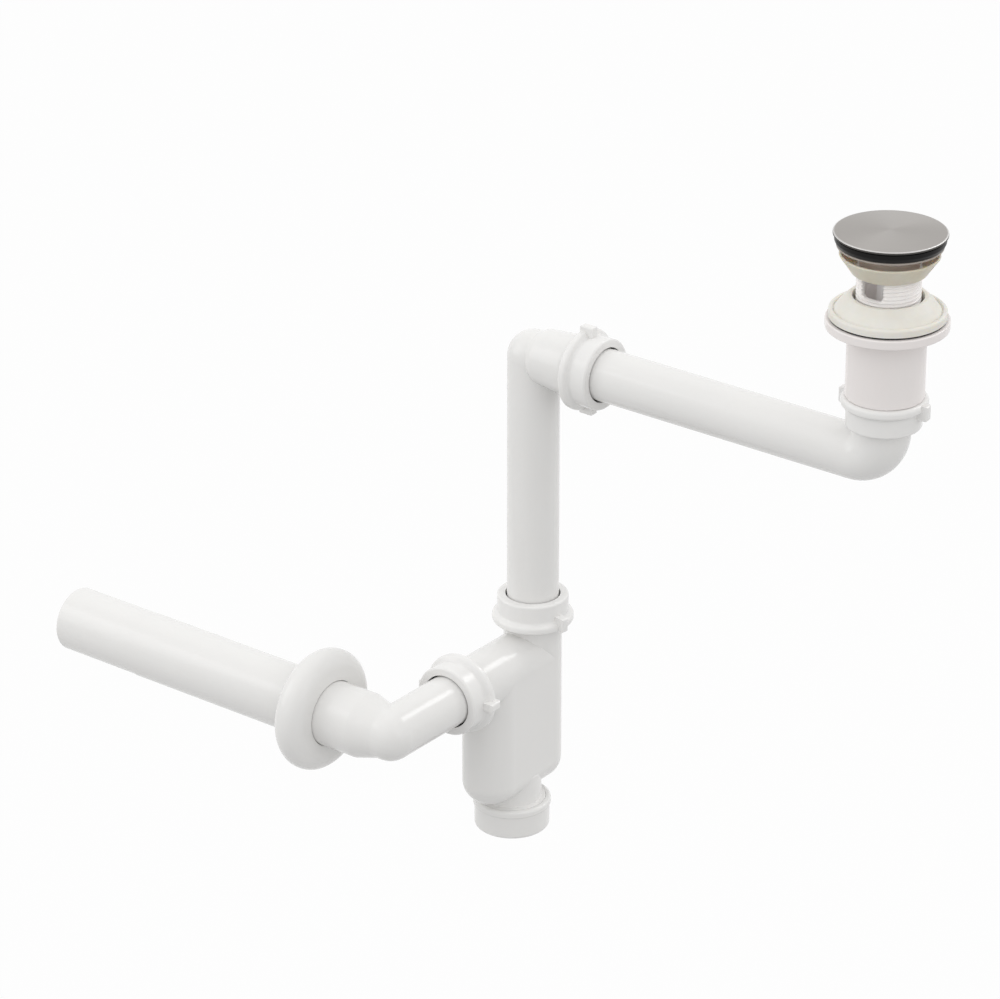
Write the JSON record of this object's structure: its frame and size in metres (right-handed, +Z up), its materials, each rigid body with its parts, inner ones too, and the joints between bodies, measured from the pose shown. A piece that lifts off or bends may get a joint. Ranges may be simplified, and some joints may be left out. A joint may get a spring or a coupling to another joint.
{
  "type": "space saving sink trap",
  "caption": "White plastic space saving basin trap with a push-open waste, long side arm, flat trap with clean-out, and a wall pipe with rosette.",
  "frame": {"origin": "on the axis of the waste, in the plane where the rim of its steel dish seats in the basin", "axes": "+Z up along the waste, +X along the side arm from the riser toward the waste, the outlet leaves the trap along -Y and the wall pipe runs along -X"},
  "size_m": [0.5374, 0.2124, 0.4523],
  "materials": {
    "white_plastic": "smooth moulded polypropylene, soft gloss",
    "steel": "pressed stainless steel, turned sheen on top",
    "spring_steel": "drawn wire",
    "black_rubber": "matt black",
    "cream_rubber": "cream, slightly translucent, satin",
    "white_rubber": "off-white, satin",
    "slip_plastic": "smooth, low friction",
    "cartridge_plastic": "smooth moulded acetal"
  },
  "bodies": {
    "waste": {"waste_flange": "steel", "threaded_neck": "white_plastic", "upper_gasket": "cream_rubber", "click_housing": "cartridge_plastic", "click_spring": "spring_steel"},
    "plug": {"stopper_cap": "steel", "stopper_carrier": "cartridge_plastic", "stopper_seal": "black_rubber", "click_plunger": "cartridge_plastic"},
    "rotor": {"click_rotor": "cartridge_plastic"},
    "basin_gasket": {"lower_gasket": "white_rubber"},
    "tail": {"flange_tail": "white_plastic"},
    "tail_seal": {"tail_seal": "black_rubber"},
    "arm": {"arm_pipe": "white_plastic"},
    "arm_seal": {"arm_seal": "black_rubber"},
    "riser": {"riser_pipe": "white_plastic"},
    "inlet_seal": {"inlet_seal": "black_rubber"},
    "trap": {"trap_body": "white_plastic"},
    "outlet_seal": {"outlet_seal": "black_rubber"},
    "outlet": {"outlet_pipe": "white_plastic"},
    "rosette": {"wall_rosette": "white_plastic"},
    "cleanout_washer": {"cleanout_washer": "black_rubber"},
    "cleanout_cap": {"cleanout_cap": "white_plastic"},
    "tail_slip_ring": {"tail_slip_ring": "slip_plastic"},
    "tail_nut": {"tail_nut": "white_plastic"},
    "arm_slip_ring": {"arm_slip_ring": "slip_plastic"},
    "arm_nut": {"arm_nut": "white_plastic"},
    "inlet_slip_ring": {"inlet_slip_ring": "slip_plastic"},
    "inlet_nut": {"inlet_nut": "white_plastic"},
    "outlet_slip_ring": {"outlet_slip_ring": "slip_plastic"},
    "outlet_nut": {"outlet_nut": "white_plastic"}
  },
  "joints": [
    {"name": "plug_lift", "type": "slide", "parent": "waste", "child": "plug", "axis": [0, 0, 1], "range_m": [0, 0.009], "deforming": ["click_spring"]},
    {"name": "rotor_index", "type": "hinge", "parent": "plug", "child": "rotor", "pos_m": [0, 0, -0.0223], "axis": [0, 0, 1], "range_deg": [0, 45]},
    {"name": "gasket_travel", "type": "slide", "parent": "waste", "child": "basin_gasket", "axis": [0, 0, 1], "range_m": [-0.00924, 0.01154]},
    {"name": "tail_thread", "type": "hinge", "parent": "basin_gasket", "child": "tail", "pos_m": [0, 0, -0.0462], "axis": [0, 0, 1], "range_deg": [-1441, 1801]},
    {"name": "tail_ring_travel", "type": "slide", "parent": "tail", "child": "tail_slip_ring", "axis": [0, 0, -1], "range_m": [0, 0.00346]},
    {"name": "tail_nut_turn", "type": "hinge", "parent": "tail_slip_ring", "child": "tail_nut", "pos_m": [0, 0, -0.1012], "axis": [0, 0, -1], "range_deg": [0, 540]},
    {"name": "tail_swivel", "type": "hinge", "parent": "basin_gasket", "child": "tail_seal", "pos_m": [0, 0, -0.1012], "axis": [0, 0, -1], "continuous": true},
    {"name": "tail_telescope", "type": "slide", "parent": "tail_seal", "child": "arm", "axis": [0, 0, -1], "range_m": [0, 0.01]},
    {"name": "arm_ring_travel", "type": "slide", "parent": "riser", "child": "arm_slip_ring", "axis": [1, 0, 0], "range_m": [0, 0.00462]},
    {"name": "arm_nut_turn", "type": "hinge", "parent": "arm_slip_ring", "child": "arm_nut", "pos_m": [-0.2039, 0, -0.1315], "axis": [1, 0, 0], "range_deg": [0, 720]},
    {"name": "arm_telescope", "type": "slide", "parent": "arm", "child": "arm_seal", "axis": [1, 0, 0], "range_m": [-0.012, 0.01]},
    {"name": "arm_swivel", "type": "hinge", "parent": "arm_seal", "child": "riser", "pos_m": [-0.2039, 0, -0.1315], "axis": [1, 0, 0], "range_deg": [-90, 90]},
    {"name": "inlet_ring_travel", "type": "slide", "parent": "trap", "child": "inlet_slip_ring", "axis": [0, 0, 1], "range_m": [0, 0.00462]},
    {"name": "inlet_nut_turn", "type": "hinge", "parent": "inlet_slip_ring", "child": "inlet_nut", "pos_m": [-0.25, 0, -0.299], "axis": [0, 0, 1], "range_deg": [0, 720]},
    {"name": "riser_telescope", "type": "slide", "parent": "riser", "child": "inlet_seal", "axis": [0, 0, 1], "range_m": [-0.015, 0.025]},
    {"name": "riser_swivel", "type": "hinge", "parent": "inlet_seal", "child": "trap", "pos_m": [-0.25, 0, -0.299], "axis": [0, 0, 1], "range_deg": [-60, 60]},
    {"name": "outlet_ring_travel", "type": "slide", "parent": "trap", "child": "outlet_slip_ring", "axis": [0, -1, 0], "range_m": [0, 0.00462]},
    {"name": "outlet_nut_turn", "type": "hinge", "parent": "outlet_slip_ring", "child": "outlet_nut", "pos_m": [-0.25, -0.078, -0.3315], "axis": [0, -1, 0], "range_deg": [0, 720]},
    {"name": "outlet_swivel", "type": "hinge", "parent": "trap", "child": "outlet_seal", "pos_m": [-0.25, -0.078, -0.3315], "axis": [0, -1, 0], "range_deg": [-90, 90]},
    {"name": "outlet_telescope", "type": "slide", "parent": "outlet_seal", "child": "outlet", "axis": [0, -1, 0], "range_m": [-0.012, 0.008]},
    {"name": "rosette_slide", "type": "slide", "parent": "outlet", "child": "rosette", "axis": [-1, 0, 0], "range_m": [-0.018, 0.125]},
    {"name": "cleanout_travel", "type": "slide", "parent": "trap", "child": "cleanout_washer", "axis": [0, 0, -1], "range_m": [0, 0.00924]},
    {"name": "cleanout_unscrew", "type": "hinge", "parent": "cleanout_washer", "child": "cleanout_cap", "pos_m": [-0.25, -0.02075, -0.4315], "axis": [0, 0, -1], "range_deg": [0, 1440]}
  ],
  "couplings": [
    {"joint": "rotor_index", "follows": "plug_lift", "rad_per_m": 87.266},
    {"joint": "tail_thread", "follows": "gasket_travel", "rad_per_m": 2721.2},
    {"joint": "tail_ring_travel", "follows": "tail_nut_turn", "m_per_rad": 0.00036749},
    {"joint": "arm_ring_travel", "follows": "arm_nut_turn", "m_per_rad": 0.00036749},
    {"joint": "inlet_ring_travel", "follows": "inlet_nut_turn", "m_per_rad": 0.00036749},
    {"joint": "outlet_ring_travel", "follows": "outlet_nut_turn", "m_per_rad": 0.00036749},
    {"joint": "cleanout_travel", "follows": "cleanout_unscrew", "m_per_rad": 0.00036749}
  ]
}
